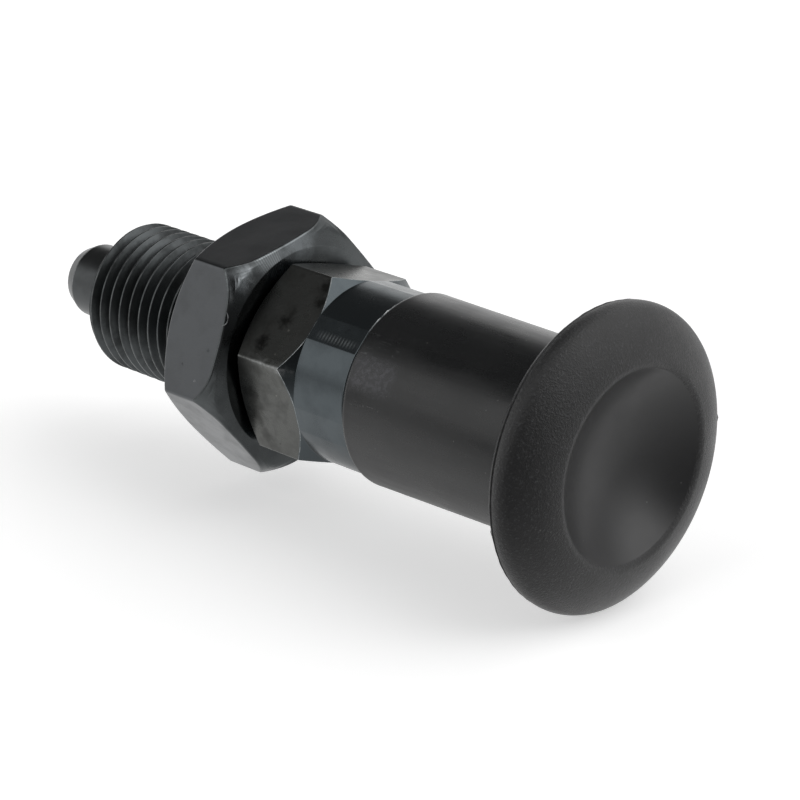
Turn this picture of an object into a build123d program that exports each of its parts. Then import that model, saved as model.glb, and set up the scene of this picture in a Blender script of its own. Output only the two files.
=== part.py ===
"""Indexing plunger with a screw-in guide, a spring-loaded locking pin, a pull knob and a lock nut.

The plunger's axis lies on +X, the knob is at +X and the locking pin's nose at -X.
The origin is the centre of the guide's seat face, where its hexagon starts, and +Z is up.
Sizes are in millimetres and angles in degrees.
"""
from build123d import *
from math import acos, asin, ceil, cos, degrees, radians, sin, tan
import os

# ---------------------------------------------------------------- driving dimensions
# screw thread on the guide
thread_d = 16.0              # major diameter
thread_len = 26.0            # seat face to front end
thread_lead = 1.0            # 45 degree lead at the front end
relief_depth = 1.1           # undercut where the thread runs out at the seat
relief_len = 3.0

# hexagon and collar, turned from hexagonal bar
hex_af = 19.0
hex_len = 8.0                # seat face to collar
hex_turn = 44.8              # a corner's angle from +Y towards +Z
seat_d = 18.6                # flat ring left on the seat face
front_cone = 30.0            # the seat side's chamfer, from the face
rear_cone = 45.0             # the collar side's chamfer, from the face
collar_d = 19.2              # a little over the flats, so the bar's flats still show on it
collar_len = 7.0
collar_edge = 0.25

# locking pin
pin_d = 8.0
pin_reach = 8.0              # how far the nose stands out of the guide, which is its stroke too
nose_len = 1.6               # tapered lead of the nose
nose_tip_d = 6.5
pin_guide_len = 20.0         # nose tip to the shoulder that carries the spring
stem_d = 5.0
tail_len = 14.0              # the stem's end, held in the knob
barbs = 3                    # saw teeth round the tail
barb_height = 0.3

# compression spring, its wire as thick as the room round the stem allows
wire_sides = 6
spring_coils = 8
end_wall = 6.0               # guide wall behind the spring

# pull knob
knob_len = 29.3              # collar face to the dish's edge
sleeve_joint_d = 20.2
sleeve_head_d = 19.7
sleeve_edge = 0.4
flange_fillet = 3.0
rim_d = 31.0
rim_round = 1.9              # radius of the rim's rounded edge
rim_setback = 3.6            # dish's edge back to the middle of the rim
crown_slope = 45.0           # where the crown leaves the rim's round, from the end face
dish_d = 20.0
dish_depth = 4.0
socket_spare = 0.6           # room past the stem's end in the knob

# lock nut
nut_af = 24.0
nut_len = 8.0
nut_turn = 10.8              # a corner's angle from +Y towards +Z
nut_rear_cone = 38.0         # from the face; it takes off little more than the corners
nut_rear_face_d = 23.6
nut_front_cone = 22.0        # from the face, a wider and flatter cut
nut_front_face_d = 20.0
nut_gap = 0.4                # between the nut and the seat face
nut_sink = 0.55              # countersink at both ends of the bore

# clearances, on the radius
pin_clearance = 0.03
stem_clearance = 0.06
nut_clearance = 0.05
spring_clearance = 0.315     # between the coils and the bore, and between the coils and the stem
stop_gap = 0.05              # knob to collar, pin out
bore_lead = 0.3
turning_margin = 1.0         # how far the turned profiles run past a hexagon's corners
curve_error = 0.125          # how far the knob's and the spring's straight runs may leave their true arcs

# ---------------------------------------------------------------- places along the axis
guide_front = -thread_len
collar_face = hex_len + collar_len
nose_tip = guide_front - pin_reach
pin_shoulder = nose_tip + pin_guide_len
spring_wall = collar_face - end_wall
knob_face = collar_face + stop_gap
stem_end = knob_face + tail_len
dish_edge_x = collar_face + knob_len
rim_x = dish_edge_x - rim_setback
nut_rear = -nut_gap
nut_front = nut_rear - nut_len

# radii that follow
bore_r = pin_d / 2 + pin_clearance
stem_r = stem_d / 2
stem_hole_r = stem_r + stem_clearance
wire_d = bore_r - stem_r - 2 * spring_clearance
spring_r = (bore_r + stem_r) / 2            # to the middle of the wire
thread_r = thread_d / 2
relief_r = thread_r - relief_depth


def corner_radius(across_flats):
    """Distance from a hexagon's middle to its corners."""
    return across_flats / 2 / cos(radians(30))


def cone_run(outer_r, inner_r, angle):
    """Length along the axis of a chamfer that falls from outer_r to inner_r at angle from the face."""
    return (outer_r - inner_r) * tan(radians(angle))


def run_count(radius, sweep):
    """How many equal straight runs follow an arc of this sweep to within curve_error."""
    return ceil(sweep / degrees(2 * acos(1 - curve_error / radius)))


# ---------------------------------------------------------------- guide: thread, hexagon and collar in one
hex_clear_r = corner_radius(hex_af) + turning_margin
front_run = cone_run(hex_clear_r, seat_d / 2, front_cone)
rear_run = cone_run(hex_clear_r, collar_d / 2, rear_cone)

with BuildPart() as guide:
    # hexagonal bar, seat face to collar face
    with BuildSketch(Plane.YZ):
        RegularPolygon(hex_af / 2, 6, major_radius=False, rotation=hex_turn)
    extrude(amount=collar_face)
    # turned down: seat ring, both chamfers and the collar
    with BuildSketch(Plane.XY):
        with BuildLine():
            Polyline(
                (0, 0),
                (0, seat_d / 2),
                (front_run, hex_clear_r),
                (hex_len - rear_run, hex_clear_r),
                (hex_len, collar_d / 2),
                (collar_face - collar_edge, collar_d / 2),
                (collar_face, collar_d / 2 - collar_edge),
                (collar_face, 0),
                close=True,
            )
        make_face()
    revolve(axis=Axis.X, mode=Mode.INTERSECT)
    # threaded shank, at its major diameter, with the undercut behind it
    with BuildSketch(Plane.XY):
        with BuildLine():
            Polyline(
                (0, 0),
                (0, relief_r),
                (-relief_len, relief_r),
                (-relief_len - relief_depth, thread_r),
                (guide_front + thread_lead, thread_r),
                (guide_front, thread_r - thread_lead),
                (guide_front, 0),
                close=True,
            )
        make_face()
    revolve(axis=Axis.X)
    # bore for the pin and the spring, then the smaller hole for the stem
    with BuildSketch(Plane.XY):
        with BuildLine():
            Polyline(
                (guide_front, 0),
                (guide_front, bore_r + bore_lead),
                (guide_front + bore_lead, bore_r),
                (spring_wall, bore_r),
                (spring_wall, stem_hole_r),
                (collar_face, stem_hole_r),
                (collar_face, 0),
                close=True,
            )
        make_face()
    revolve(axis=Axis.X, mode=Mode.SUBTRACT)
guide.part.label = "guide"

# ---------------------------------------------------------------- locking pin, stem and barbed tail
barb_pitch = tail_len / (barbs + 1)


def barb_points():
    """The tail's outline in X and radius: each barb falls away from the stem's radius, then steps up."""
    points = []
    for n in range(1, barbs + 1):
        start = knob_face + n * barb_pitch
        points += [(start, stem_r), (start + barb_pitch, stem_r - barb_height)]
    return points


with BuildPart() as locking_pin:
    with BuildSketch(Plane.XY):
        with BuildLine():
            Polyline(
                (nose_tip, 0),
                (nose_tip, nose_tip_d / 2),
                (nose_tip + nose_len, pin_d / 2),
                (pin_shoulder - bore_lead, pin_d / 2),
                (pin_shoulder, pin_d / 2 - bore_lead),
                (pin_shoulder, stem_r),
                *barb_points(),
                (stem_end, 0),
                close=True,
            )
        make_face()
    revolve(axis=Axis.X)
locking_pin.part.label = "locking_pin"

# ---------------------------------------------------------------- compression spring, its ends ground flat
spring_len = spring_wall - pin_shoulder
spring_pitch = spring_len / spring_coils
# the wire starts and stops half a wire outside the ground ends
coil_start = pin_shoulder - wire_d / 2
coil_runs = run_count(spring_r, 360)
coil_points = [
    (
        coil_start + spring_pitch * n / coil_runs,
        spring_r * cos(radians(360 * n / coil_runs)),
        spring_r * sin(radians(360 * n / coil_runs)),
    )
    for n in range(ceil((spring_len + wire_d) / spring_pitch * coil_runs) + 1)
]

with BuildPart() as spring:
    with BuildLine():
        coil = Polyline(*coil_points)
    with BuildSketch(Plane(origin=coil @ 0, z_dir=coil % 0)):
        RegularPolygon(wire_d / 2, wire_sides)
    sweep(path=coil, transition=Transition.RIGHT)
    # grinding leaves only what stands between the pin's shoulder and the guide's wall
    with BuildSketch(Plane.YZ.offset(pin_shoulder)):
        Circle(spring_r + wire_d)
    extrude(amount=spring_len, mode=Mode.INTERSECT)
spring.part.label = "spring"

# ---------------------------------------------------------------- pull knob, one moulding
flange_back = rim_x - rim_round
neck_r = sleeve_head_d / 2
dish_r = dish_d / 2
dish_bottom = dish_edge_x - dish_depth
# the dish is part of a sphere that passes through its edge and its bottom
dish_sphere_r = (dish_r**2 + dish_depth**2) / (2 * dish_depth)
dish_angle = degrees(asin(dish_r / dish_sphere_r))
socket_end = stem_end + socket_spare

# the head's arcs: neck into flange, up and over the rim, along the crown and down into the dish
neck = CenterArc((flange_back - flange_fillet, neck_r + flange_fillet), flange_fillet, -90, 90)
rim_back = CenterArc((rim_x, rim_d / 2 - rim_round), rim_round, 180, -90)
rim_front = CenterArc((rim_x, rim_d / 2 - rim_round), rim_round, 90, crown_slope - 90)
crown = TangentArc(rim_front @ 1, (dish_edge_x, dish_r), tangent=rim_front % 1)
dish = CenterArc((dish_bottom + dish_sphere_r, 0), dish_sphere_r, 180 - dish_angle, dish_angle)


def straight_runs(arc):
    """The arc's points at the ends of equal straight runs."""
    count = run_count(arc.radius, degrees(arc.length / arc.radius))
    return [arc @ (n / count) for n in range(count + 1)]


with BuildPart() as knob:
    with BuildSketch(Plane.XY):
        with BuildLine():
            Polyline(
                (knob_face, 0),
                (knob_face, sleeve_joint_d / 2 - sleeve_edge),
                (knob_face + sleeve_edge, sleeve_joint_d / 2),
                *straight_runs(neck),
                *straight_runs(rim_back),
                *straight_runs(rim_front)[1:],
                *straight_runs(crown)[1:],
                *straight_runs(dish)[1:],
                close=True,
            )
        make_face()
    revolve(axis=Axis.X)
    # blind socket that grips the tail's barbs
    with BuildSketch(Plane.YZ.offset(knob_face)):
        Circle(stem_r)
    extrude(amount=socket_end - knob_face, mode=Mode.SUBTRACT)
knob.part.label = "knob"

# ---------------------------------------------------------------- lock nut, chamfered on both faces
nut_clear_r = corner_radius(nut_af) + turning_margin
nut_rear_run = cone_run(nut_clear_r, nut_rear_face_d / 2, nut_rear_cone)
nut_front_run = cone_run(nut_clear_r, nut_front_face_d / 2, nut_front_cone)
nut_bore_r = thread_r + nut_clearance

with BuildPart() as lock_nut:
    with BuildSketch(Plane.YZ.offset(nut_front)):
        RegularPolygon(nut_af / 2, 6, major_radius=False, rotation=nut_turn)
    extrude(amount=nut_len)
    with BuildSketch(Plane.XY):
        with BuildLine():
            Polyline(
                (nut_front, nut_bore_r + nut_sink),
                (nut_front, nut_front_face_d / 2),
                (nut_front + nut_front_run, nut_clear_r),
                (nut_rear - nut_rear_run, nut_clear_r),
                (nut_rear, nut_rear_face_d / 2),
                (nut_rear, nut_bore_r + nut_sink),
                (nut_rear - nut_sink, nut_bore_r),
                (nut_front + nut_sink, nut_bore_r),
                close=True,
            )
        make_face()
    revolve(axis=Axis.X, mode=Mode.INTERSECT)
lock_nut.part.label = "lock_nut"

# ---------------------------------------------------------------- one STEP file for each piece
os.makedirs("parts", exist_ok=True)
export_step(guide.part, "parts/guide.step")
export_step(locking_pin.part, "parts/locking_pin.step")
export_step(spring.part, "parts/spring.step")
export_step(knob.part, "parts/knob.step")
export_step(lock_nut.part, "parts/lock_nut.step")
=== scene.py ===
# %% [markdown]
# # An indexing plunger
# A steel guide with a fine thread and a hexagon holds a sprung locking pin. A moulded knob pulls
# the pin back, and a lock nut on the thread clamps the guide where it is screwed in. The packed
# CAD model gives the frame, and this lesson gives each piece its thread, edges and finish.

# %% Loading the frame
import bmesh
import bpy
import numpy as np
from mathutils import Matrix, Vector


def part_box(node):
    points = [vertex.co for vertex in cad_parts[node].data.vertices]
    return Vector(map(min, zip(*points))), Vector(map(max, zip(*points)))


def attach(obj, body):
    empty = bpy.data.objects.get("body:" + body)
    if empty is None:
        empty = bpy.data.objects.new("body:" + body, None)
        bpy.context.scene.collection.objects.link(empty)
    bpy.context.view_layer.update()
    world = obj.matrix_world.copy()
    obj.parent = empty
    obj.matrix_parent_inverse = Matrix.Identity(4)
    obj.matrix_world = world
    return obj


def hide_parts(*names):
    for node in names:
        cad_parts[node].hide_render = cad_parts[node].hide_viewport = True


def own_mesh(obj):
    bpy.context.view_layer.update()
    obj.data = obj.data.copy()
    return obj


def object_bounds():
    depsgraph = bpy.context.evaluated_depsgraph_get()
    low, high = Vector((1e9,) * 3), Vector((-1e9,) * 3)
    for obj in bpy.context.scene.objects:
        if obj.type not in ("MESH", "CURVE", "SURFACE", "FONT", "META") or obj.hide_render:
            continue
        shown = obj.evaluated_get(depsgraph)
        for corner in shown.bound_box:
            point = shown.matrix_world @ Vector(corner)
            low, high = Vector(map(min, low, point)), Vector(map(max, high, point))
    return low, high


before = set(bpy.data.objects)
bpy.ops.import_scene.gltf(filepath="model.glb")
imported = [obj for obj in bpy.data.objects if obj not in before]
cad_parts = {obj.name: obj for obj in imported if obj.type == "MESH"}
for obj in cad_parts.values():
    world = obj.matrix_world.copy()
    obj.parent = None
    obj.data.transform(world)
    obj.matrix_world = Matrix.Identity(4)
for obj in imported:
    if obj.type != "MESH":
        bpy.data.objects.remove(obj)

cad_box = [[float(v) for v in corner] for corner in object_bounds()]
MM = 0.001


# %% Where each CAD piece begins and ends
def ends(node):
    """A CAD piece's two ends along the X axis, in mm to the nearest hundredth."""
    return [round(float(corner[0]) / MM, 2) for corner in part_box(node)]


GUIDE_FRONT, GUIDE_REAR = ends("guide")
NUT_FRONT, NUT_REAR = ends("lock_nut")
NOSE, TAIL = ends("locking_pin")
SPRING_FRONT, SPRING_REAR = ends("spring")
KNOB_FRONT, KNOB_REAR = ends("knob")
print("guide", GUIDE_FRONT, GUIDE_REAR, "nut", NUT_FRONT, NUT_REAR, "pin", NOSE, TAIL)
print("spring", SPRING_FRONT, SPRING_REAR, "knob", KNOB_FRONT, KNOB_REAR)

# %% [markdown]
# ## Surfaces from arrays
# Nearly every piece here is turned on a lathe, so it is a profile carried round the X axis. Hexagons
# are turned too, but their radius changes with the angle, so the helpers take one radius for each
# row and column of a grid. A grid costs no Python loop, and its corners can be softened exactly
# where the real edge is broken, which a Bevel modifier on a cut mesh does less evenly.

# %% From a grid of points to a mesh
MERGE = 2e-7  # points closer than this, in metres, are one


def ring(x, radius, angle):
    """Points of a surface round the X axis, in mm: (x, radius cos angle, radius sin angle)."""
    x, radius, angle = np.broadcast_arrays(x, radius, angle)
    return np.stack([x, radius * np.cos(angle), radius * np.sin(angle)], axis=-1)


def grid_quads(rows, columns, loop_rows=False):
    """Corner numbers of the quads between neighbouring rows and columns; columns always close up."""
    i = np.arange(rows if loop_rows else rows - 1)[:, None] * columns
    j = np.arange(columns)[None, :]
    after_i, after_j = (i + columns) % (rows * columns), (j + 1) % columns
    return np.stack([i + j, i + after_j, after_i + after_j, after_i + j], axis=-1).reshape(-1, 4)


def piece(name, points, quads, body, node, material, edge=None, part=None):
    """A finished piece: points in mm become a mesh with its doubles merged and its faces outward.

    edge is how far each point belongs to a broken edge, from 0 to 1. part is the number of the
    material of each quad, and material is a list where there are several.
    """
    mesh = bpy.data.meshes.new(name)
    flat = points.reshape(-1, 3) * MM
    mesh.vertices.add(len(flat))
    mesh.vertices.foreach_set("co", flat.astype(np.float32).ravel())
    mesh.loops.add(quads.size)
    mesh.loops.foreach_set("vertex_index", quads.astype(np.int32).ravel())
    mesh.polygons.add(len(quads))
    mesh.polygons.foreach_set("loop_start", np.arange(0, quads.size, 4, dtype=np.int32))
    if part is not None:
        mesh.polygons.foreach_set("material_index", part.astype(np.int32).ravel())
    if edge is not None:
        spread = mesh.attributes.new("edge", "FLOAT", "POINT")
        spread.data.foreach_set("value", edge.astype(np.float32).ravel())
    mesh.update(calc_edges=True)
    work = bmesh.new()
    work.from_mesh(mesh)
    bmesh.ops.remove_doubles(work, verts=work.verts, dist=MERGE)
    bmesh.ops.recalc_face_normals(work, faces=work.faces)
    loose = sum(not e.is_manifold for e in work.edges)
    work.to_mesh(mesh)
    work.free()
    mesh.polygons.foreach_set("use_smooth", np.ones(len(mesh.polygons), bool))
    for each in material if isinstance(material, list) else [material]:
        mesh.materials.append(each)
    made = bpy.data.objects.new(name, mesh)
    bpy.context.scene.collection.objects.link(made)
    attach(made, body)
    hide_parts(node)
    print(name, len(mesh.polygons), "faces,", loose, "open edges")
    return made


# %% Broken edges
STEPS = 4  # points on each rounded corner
PER_CORNER = STEPS + 2  # and one more past each end of it
PAST_END = 1.6  # how far out those two are, in sizes of the rounding
MOST_OF_SIDE = 0.42  # no corner takes more of a side than this


def broken_edges(corners, size):
    """The closed outline with every corner rounded, and how far each new point belongs to a corner.

    corners has one outline for each column: (corner, column, x and radius). Each corner P becomes
    the curve (1-t)^2 A + 2(1-t)t P + t^2 B, where A and B lie on the sides at size from P, and one
    more point on each side keeps the shading of the long faces flat.
    """
    before, after = np.roll(corners, 1, axis=0) - corners, np.roll(corners, -1, axis=0) - corners
    reach = np.asarray(size, float).reshape(-1, 1, 1) * np.ones((len(corners), 1, 1))

    def along(side, share):
        length = np.linalg.norm(side, axis=-1, keepdims=True)
        step = np.minimum(reach * share, MOST_OF_SIDE * length * share / PAST_END)
        return corners + side * step / np.maximum(length, 1e-9)

    a, b = along(before, 1.0), along(after, 1.0)
    t = np.linspace(0, 1, STEPS)[:, None, None, None]
    curve = (1 - t) ** 2 * a + 2 * (1 - t) * t * corners + t**2 * b
    stack = np.concatenate([along(before, PAST_END)[None], curve, along(after, PAST_END)[None]])
    belongs = np.concatenate([[0.0], 1 - np.abs(np.linspace(-1, 1, STEPS)) ** 3, [0.0]])
    points = stack.swapaxes(0, 1).reshape(-1, corners.shape[1], 2)
    edge = np.tile(belongs, len(corners))[:, None] * np.ones((1, corners.shape[1]))
    return points, edge


def outline(*corners, columns):
    """Corners given as (x, radius), each a number or one value for each column, as one array."""
    return np.stack([np.stack(np.broadcast_arrays(x, r, np.zeros(columns))[:2], axis=-1) for x, r in corners])


print("a rounded corner has", PER_CORNER, "points")

# %% [markdown]
# ## Hexagons
# A hexagon nut or guide is cut from drawn hexagonal bar and then chamfered on a lathe, so each
# flat ends in a curve where the chamfer's cone cuts it. Working out the outline of every column by
# itself puts those curves exactly where they belong: the chamfer starts where the cone's radius
# passes the bar's radius at that angle.

# %% The bar's radius at each angle
CORNER_COLUMNS, FLAT_COLUMNS = 5, 21
BESIDE_CORNER = 2.2  # where the flat's first column is, in half widths of the corner


def hexagon(across_flats, turn, corner_round, extra=()):
    """Angles of the columns, the bar's radius there, and how far each is on a corner, as arrays.

    With psi the angle from the nearest corner, a flat is at (across_flats / 2) / cos(30 - |psi|),
    and the drawn corner is an arc of corner_round about a centre on the corner's own direction.
    extra lists further angles from the middle of a flat that need a column of their own.
    """
    half, half_flat = across_flats / 2, np.radians(30)
    centre = (half - corner_round) / np.cos(half_flat)
    reach = np.degrees(np.arctan2(corner_round / 2, centre + corner_round * np.cos(half_flat)))
    beside = BESIDE_CORNER * reach
    near = np.concatenate([np.linspace(-reach, reach, CORNER_COLUMNS), [beside]])
    across = np.linspace(beside, 60 - beside, FLAT_COLUMNS)[1:]
    more = np.array([30 + s * e for e in extra for s in (-1, 1)])
    sixth = np.unique(np.round(np.concatenate([near, across, more]), 6))
    angle = (turn + sixth[None, :] + 60 * np.arange(6)[:, None]).ravel()
    psi = np.radians((angle - turn + 30) % 60 - 30)
    flat = half / np.cos(half_flat - np.abs(psi))
    arc = centre * np.cos(psi) + np.sqrt(np.maximum(corner_round**2 - (centre * np.sin(psi)) ** 2, 0))
    corner = np.clip(1 - (np.degrees(psi) / reach) ** 2, 0, 1)
    return np.radians(angle), np.where(np.abs(psi) < np.radians(reach), arc, flat), corner


print("corner radius of a 19 mm hexagon:", hexagon(19, 0, 0.2)[1].max().round(3), "mm")

# %% [markdown]
# ## Finishes
# The steel pieces are blacked: a thin layer of iron oxide, soaked with oil, that leaves the metal's
# own reflection but darkens it. What tells one face from another is how it was made: the bar's
# flats are drawn and stained, the chamfers and the collar show the lathe's rings, and broken edges
# are rubbed bright. The knob is filled nylon from a mould, part spark-eroded and part polished.
# Node materials are used, because a pattern worked out from a place in mm has the same size on
# every piece and needs no unwrapping.

# %% Colours and nodes
def colour(hex_code):
    """An sRGB hex colour as the linear colour that the renderer uses, with alpha 1."""
    c = np.array([int(hex_code[i:i + 2], 16) for i in (1, 3, 5)]) / 255
    linear = np.where(c <= 0.04045, c / 12.92, ((c + 0.055) / 1.055) ** 2.4)
    return (*[float(v) for v in linear], 1.0)


def add(tree, kind, *values, out=0, **named):
    """Adds a node and returns its output with that number or name.

    kind is the node's kind, then its operation where it has one. values fill its sockets in order.
    A capitalised name is one more socket, and any other name is a setting. A socket takes a plain
    value or another node's output, and None leaves it as it is.
    """
    kind, _, operation = kind.partition(" ")
    node = tree.nodes.new("ShaderNode" + kind)
    if operation:
        node.operation = operation
    for key, value in named.items():
        if key[0].islower():
            setattr(node, key, value)
    sockets = {key: value for key, value in named.items() if key[0].isupper()}
    for key, value in {**dict(enumerate(values)), **sockets}.items():
        if isinstance(value, bpy.types.NodeSocket):
            tree.links.new(value, node.inputs[key])
        elif value is not None:
            node.inputs[key].default_value = value
    return node.outputs[out] if node.outputs else node


def new_material(name):
    """An empty material and its node tree."""
    material = bpy.data.materials.new(name)
    material.use_nodes = True
    material.node_tree.nodes.clear()
    return material, material.node_tree


print("mid grey #808080 is", round(colour("#808080")[0], 3), "in linear light")


# %% Where a point is, in mm and degrees
def place_in_mm(tree):
    """Object coordinates in mm, their x, and the distance from the X axis."""
    where = add(tree, "TexCoord", out="Object")
    mm = add(tree, "VectorMath MULTIPLY", where, (1 / MM,) * 3)
    split = add(tree, "SeparateXYZ", mm).node.outputs
    across = add(tree, "CombineXYZ", None, split["Y"], split["Z"])
    return mm, split["X"], add(tree, "VectorMath LENGTH", across, out="Value")


def angle_round_x(tree, mm):
    """The angle round the X axis in degrees, 0 at +Y and 90 at +Z."""
    split = add(tree, "SeparateXYZ", mm).node.outputs
    return add(tree, "Math MULTIPLY", add(tree, "Math ARCTAN2", split["Z"], split["Y"]), 57.29578)


def on_flat_at(normal, distance, x, along):
    """A point in mm on a flat whose normal is at an angle in degrees; along runs round the part."""
    c, d = np.cos(np.radians(normal)), np.sin(np.radians(normal))
    return (float(x), float(distance * c - along * d), float(distance * d + along * c))


print("a place on a flat:", on_flat_at(0, 10, 0, 1))


# %% Marks of use
def near(tree, mm, place, size, ragged=0.5):
    """1 at a place in mm, 0 beyond size of it, with a border as ragged as that share of the size."""
    noise = add(tree, "TexNoise", mm, Scale=1.6 / size, Detail=4.0, Roughness=0.65)
    away = add(tree, "VectorMath DISTANCE", mm, place, out="Value")
    uneven = add(tree, "Math MULTIPLY", add(tree, "Math SUBTRACT", noise, 0.5), 4 * ragged * size)
    return add(tree, "MapRange", add(tree, "Math ADD", away, uneven), size, 0.3 * size)


def hairlines(tree, mm, stretch, width):
    """Thin short scratches along one way: stretch is how often they come for each mm along x, y and z.

    They are where a stretched noise passes through its middle value, broken up by a second noise.
    """
    drawn = add(tree, "VectorMath MULTIPLY", mm, stretch)
    noise = add(tree, "TexNoise", drawn, Scale=1.0, Detail=0.0)
    off_middle = add(tree, "Math ABSOLUTE", add(tree, "Math SUBTRACT", noise, 0.5))
    line = add(tree, "MapRange", off_middle, width, 0.3 * width)
    broken = add(tree, "TexNoise", mm, Scale=1.1, Detail=3.0, Roughness=0.7)
    return add(tree, "Math MULTIPLY", line, add(tree, "MapRange", broken, 0.5, 0.62))


def window(tree, value, low, high, soft):
    """1 from low to high, falling to 0 over soft on each side."""
    return add(tree, "Math MULTIPLY", add(tree, "MapRange", value, low - soft, low),
               add(tree, "MapRange", value, high + soft, high))


def patch(tree, x, turn, along, around):
    """1 in a patch of a round surface; along and around are (low, high, soft), in mm and degrees."""
    return add(tree, "Math MULTIPLY", window(tree, x, *along), window(tree, turn, *around))


def ticks(tree, value, spacing):
    """Even lines across value, one each spacing, with soft sides."""
    phase = add(tree, "Math MODULO", add(tree, "Math DIVIDE", value, spacing), 1.0)
    off_middle = add(tree, "Math ABSOLUTE", add(tree, "Math SUBTRACT", phase, 0.5))
    return add(tree, "MapRange", off_middle, 0.4, 0.05)


# %% [markdown]
# ### Blacked steel
# Hot blacking turns the steel's own surface to oxide, so the part keeps its metal look and every
# mark of the tool. That calls for a metal with a dark colour rather than a black paint with a
# clear coat. The marks tilt the reflection, the oil clouds the colour, and edges show bare steel.

# %% The steel finish
RUBBED_ROUGHER = 0.35  # a torn or rubbed edge scatters the light
UNEVEN_MM = 0.012  # how far the surface rises and falls over about a millimetre


def blacked_steel(name, base, stain, roughness, made, stain_share, bright="#b4b6b6", spots_and_highlights=(), chatter_and_reflection=()):
    """Black oxide on steel. made is how the face was cut: "turned", "drawn" or "ground".

    It is a metal with a dark colour. Drawn bar has streaks 1 mm long and 0.1 mm wide. A tool's feed
    of 0.1 mm is too fine to show, so its rings are drawn 0.15 mm wide. Both only tilt the reflection
    a little. Oil leaves clouds about 3 mm across and specks of 0.4 mm. Spots, and the painted highlights
    on the nut's chamfers, are each (place, size, colour, share). Chatter is where the tool shook:
    (way, spacing, along, around, share); on the collar its ticks are drawn broad and bright, and are
    partly a painted reflection.
    """
    material, tree = new_material(name)
    mm, x, radius = place_in_mm(tree)
    clouds = add(tree, "TexNoise", mm, Scale=0.33, Detail=5.0, Roughness=0.62)
    specks = add(tree, "TexNoise", mm, Scale=2.3, Detail=4.0, Roughness=0.7)
    rub = add(tree, "TexNoise", mm, Scale=0.9, Detail=4.0, Roughness=0.7)
    stained = add(tree, "Math MULTIPLY", add(tree, "MapRange", clouds, 0.46, 0.66), stain_share)
    body = add(tree, "MixRGB", stained, colour(base), colour(stain))
    body = add(tree, "MixRGB", add(tree, "MapRange", specks, 0.66, 0.8, 0.0, 0.35), body, colour(stain))
    for place, size, tint, share in spots_and_highlights:
        spot = add(tree, "Math MULTIPLY", near(tree, mm, place, size), share)
        body = add(tree, "MixRGB", spot, body, colour(tint))
    turn = angle_round_x(tree, mm)
    for way, spacing, along, around, share in chatter_and_reflection:
        line = ticks(tree, x if way == "x" else turn, spacing)
        line = add(tree, "Math MULTIPLY", line, patch(tree, x, turn, along, around))
        body = add(tree, "MixRGB", add(tree, "Math MULTIPLY", line, share), body, colour("#b9bfc1"))
    edge = add(tree, "Attribute", out="Fac", attribute_name="edge")
    rubbed = add(tree, "Math MULTIPLY", edge, add(tree, "MapRange", rub, 0.42, 0.7, 0.08, 0.8))
    body = add(tree, "MixRGB", rubbed, body, colour(bright))
    if made == "drawn":
        stretch = add(tree, "VectorMath MULTIPLY", mm, (0.35, 3.0, 3.0))
        lines = add(tree, "TexNoise", stretch, Scale=3.0, Detail=3.0)
        depth = 0.004
    elif made == "turned":
        # x plus radius runs across the rings on a cylinder, a face and a chamfer alike
        across = add(tree, "Math ADD", x, radius)
        lines = add(tree, "TexNoise", W=across, Scale=7.0, Detail=2.0, Roughness=0.6, noise_dimensions="1D")
        depth = 0.003
    else:
        lines, depth = specks, 0.002
    uneven = add(tree, "TexNoise", mm, Scale=0.8, Detail=3.0)
    height = add(tree, "Math ADD", add(tree, "Math MULTIPLY", lines, depth),
                 add(tree, "Math MULTIPLY", uneven, UNEVEN_MM))
    bump = add(tree, "Bump", Height=height, Strength=1.0, Distance=MM)
    # oil makes the clouds a little duller
    rough = add(tree, "MapRange", clouds, 0.4, 0.65, roughness, roughness + 0.08)
    rough = add(tree, "Math ADD", rough, add(tree, "Math MULTIPLY", rubbed, RUBBED_ROUGHER))
    add(tree, "OutputMaterial", add(tree, "BsdfPrincipled", body, Metallic=1.0, Roughness=rough, Normal=bump))
    return material


# %% Steel for the guide's head
HEX_FLATS, HEX_TURN = 19.0, 44.8  # mm, and a corner's angle from +Y towards +Z


def flat_a(x, along):
    """A place on the hexagon's upper flat."""
    return on_flat_at(HEX_TURN + 90, HEX_FLATS / 2, x, along)


def flat_b(x, along):
    """A place on the hexagon's flat below that one."""
    return on_flat_at(HEX_TURN + 150, HEX_FLATS / 2, x, along)


drawn_bar = blacked_steel(
    "blacked drawn bar", "#585957", "#2a2a28", 0.26, "drawn", 0.55,
    spots_and_highlights=[(flat_a(3.0, 3.4), 1.1, "#222221", 0.9), (flat_a(4.2, 0.4), 1.0, "#222221", 0.85),
           (flat_a(7.1, -2.5), 1.0, "#2a2a28", 0.9), (flat_a(6.9, -4.2), 1.3, "#2a2a28", 0.9),
           (flat_a(5.3, 1.3), 0.16, "#a9a8a2", 0.6),
           (flat_a(5.4, 4.1), 0.13, "#a9a8a2", 0.5), (flat_a(4.6, -0.8), 0.5, "#333331", 0.6),
           # dark patches on flat B near its front end, beside the nut
           (flat_b(1.8, 1.5), 1.6, "#2c2c2a", 0.7), (flat_b(1.6, -1.2), 1.3, "#2c2c2a", 0.6),
           (flat_b(2.6, 3.6), 1.0, "#343432", 0.5), (flat_b(4.4, 4.2), 0.12, "#1c1c1c", 0.8),
           (flat_b(5.6, -2.0), 0.10, "#a9a8a2", 0.5)])
turned_bar = blacked_steel(
    "blacked turned steel", "#53595c", "#3f4447", 0.2, "turned", 0.35, bright="#d8dada",
    # pale ticks on the collar: chatter marks, drawn broad and bright as a painted reflection that lightens
    # this band
    chatter_and_reflection=[("x", 0.42, (10.2, 13.2, 1.5), (138.0, 139.0, 3.0), 0.7)])
print("head:", drawn_bar.name, "and", turned_bar.name)

# %% Steel for the nut
NUT_TURN = 10.64  # a corner's angle from +Y towards +Z


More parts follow.
